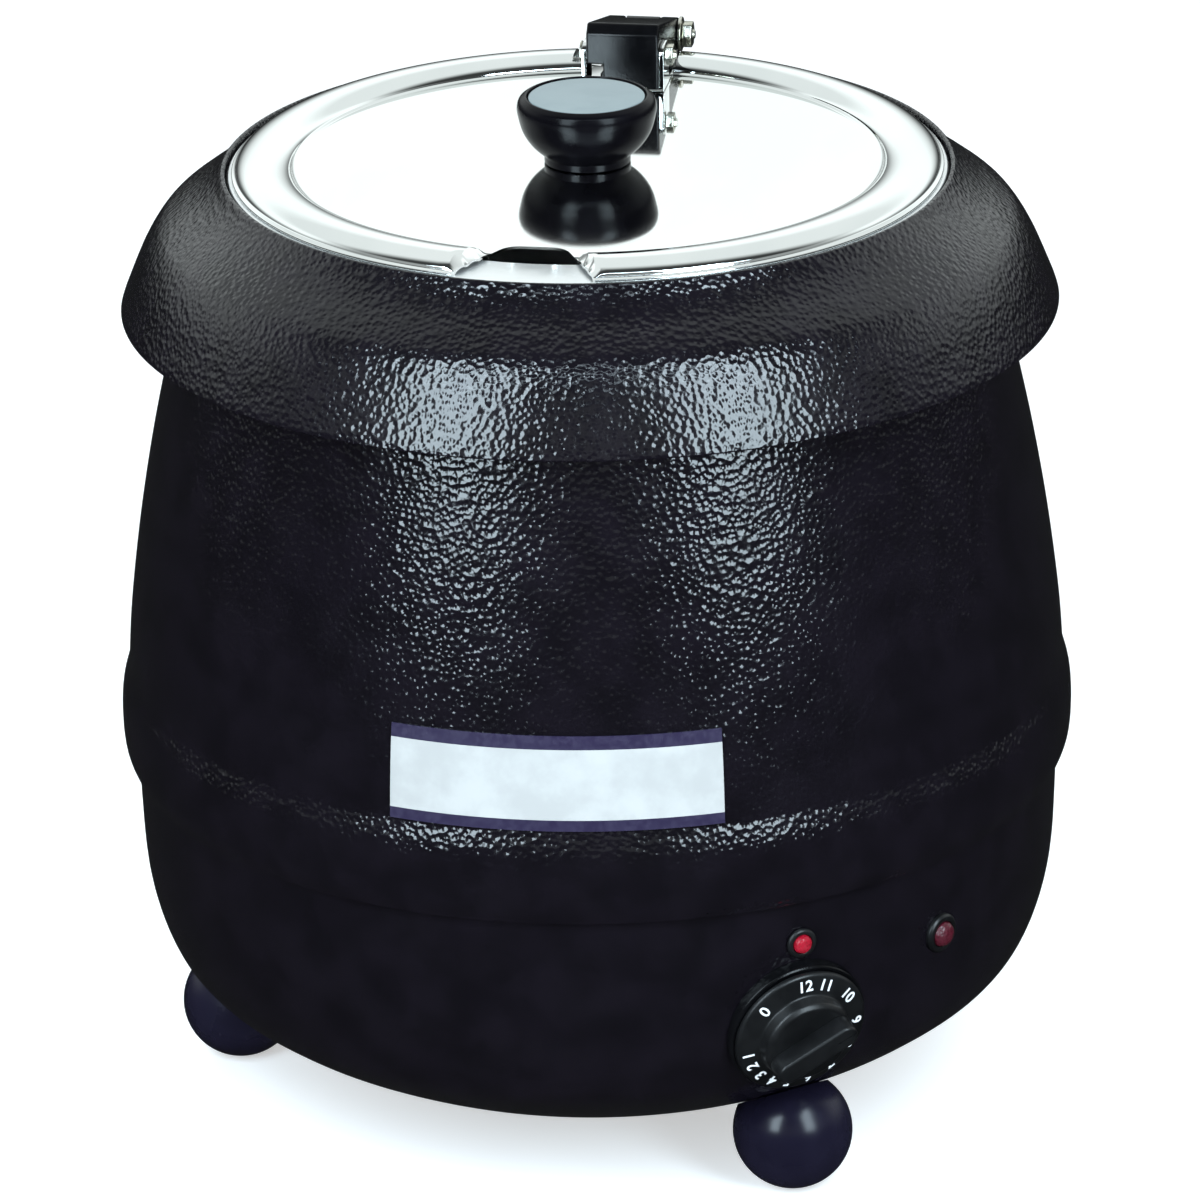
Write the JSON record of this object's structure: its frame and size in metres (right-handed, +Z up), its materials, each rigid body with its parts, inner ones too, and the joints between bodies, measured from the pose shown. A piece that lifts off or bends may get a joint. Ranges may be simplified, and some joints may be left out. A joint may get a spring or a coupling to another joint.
{
  "type": "soup kettle",
  "caption": "Free-standing electric soup kettle: pot-bellied steel body on ball feet, water well, lift-out pot, polished hinged lid with a ladle notch, heat dial.",
  "frame": {"origin": "on the kettle's axis at floor level, under the feet", "axes": "+Z up along the kettle's axis; -Y towards the lid's ladle notch; the lid's hinge is at +Y"},
  "size_m": [0.34, 0.34, 0.3649],
  "materials": {
    "hammertone": "black hammertone powder coat",
    "polished_steel": "mirror polished",
    "satin_steel": "satin",
    "gloss_black": "gloss",
    "moulded_black": "fine moulded grain",
    "fastener_steel": "plated",
    "red_lens": "clear red",
    "label_film": "satin film",
    "silicone": "matte",
    "aluminium": "as cast",
    "satin_aluminium": "satin",
    "insulator": "matte"
  },
  "bodies": {
    "kettle": {"body_shell": "hammertone", "collar_ring": "hammertone", "base_bowl": "hammertone", "base_plate": "satin_steel", "base_screw_1": "satin_steel", "base_screw_2": "satin_steel", "base_screw_3": "satin_steel", "foot_front": "gloss_black", "foot_left": "gloss_black", "foot_right": "gloss_black", "foot_screw_front": "satin_steel", "foot_screw_left": "satin_steel", "foot_screw_right": "satin_steel", "dial_plinth": "moulded_black", "power_bezel": "gloss_black", "power_lens": "red_lens", "heat_bezel": "gloss_black", "heat_lens": "red_lens", "name_label": "label_film", "water_well": "satin_steel", "well_seal": "silicone", "spreader_plate": "aluminium", "heating_element": "satin_steel", "thermostat": "insulator", "sensor_bulb": "fastener_steel", "overheat_cutout": "insulator", "terminal_block": "insulator", "cord_inlet": "moulded_black"},
    "pot": {"inner_pot": "polished_steel", "rim_clamp": "moulded_black", "clamp_jaw": "moulded_black", "clamp_screw_left": "fastener_steel", "clamp_screw_right": "fastener_steel"},
    "lid": {"lid": "polished_steel", "knob_body": "gloss_black", "knob_disc": "satin_aluminium", "knob_screw": "fastener_steel", "knob_washer": "fastener_steel", "lid_bracket": "polished_steel", "bracket_rivet_front": "fastener_steel", "bracket_rivet_rear": "fastener_steel", "hinge_arm": "moulded_black", "arm_bolt": "fastener_steel", "arm_nut": "fastener_steel", "hinge_pin": "fastener_steel", "pin_washer": "fastener_steel", "pin_nut": "fastener_steel"},
    "dial": {"dial_knob": "gloss_black", "dial_shaft": "satin_steel"}
  },
  "joints": [
    {"name": "pot_lift", "type": "slide", "parent": "kettle", "child": "pot", "axis": [0, 0, 1], "range_m": [0, 0.285]},
    {"name": "lid_hinge", "type": "hinge", "parent": "pot", "child": "lid", "pos_m": [0, 0.127, 0.3472], "axis": [-1, 0, 0], "range_deg": [0, 100]},
    {"name": "dial_turn", "type": "hinge", "parent": "kettle", "child": "dial", "pos_m": [0.09006, -0.13454, 0.076], "axis": [0.5409, -0.808, -0.2334], "range_deg": [0, 297]}
  ]
}
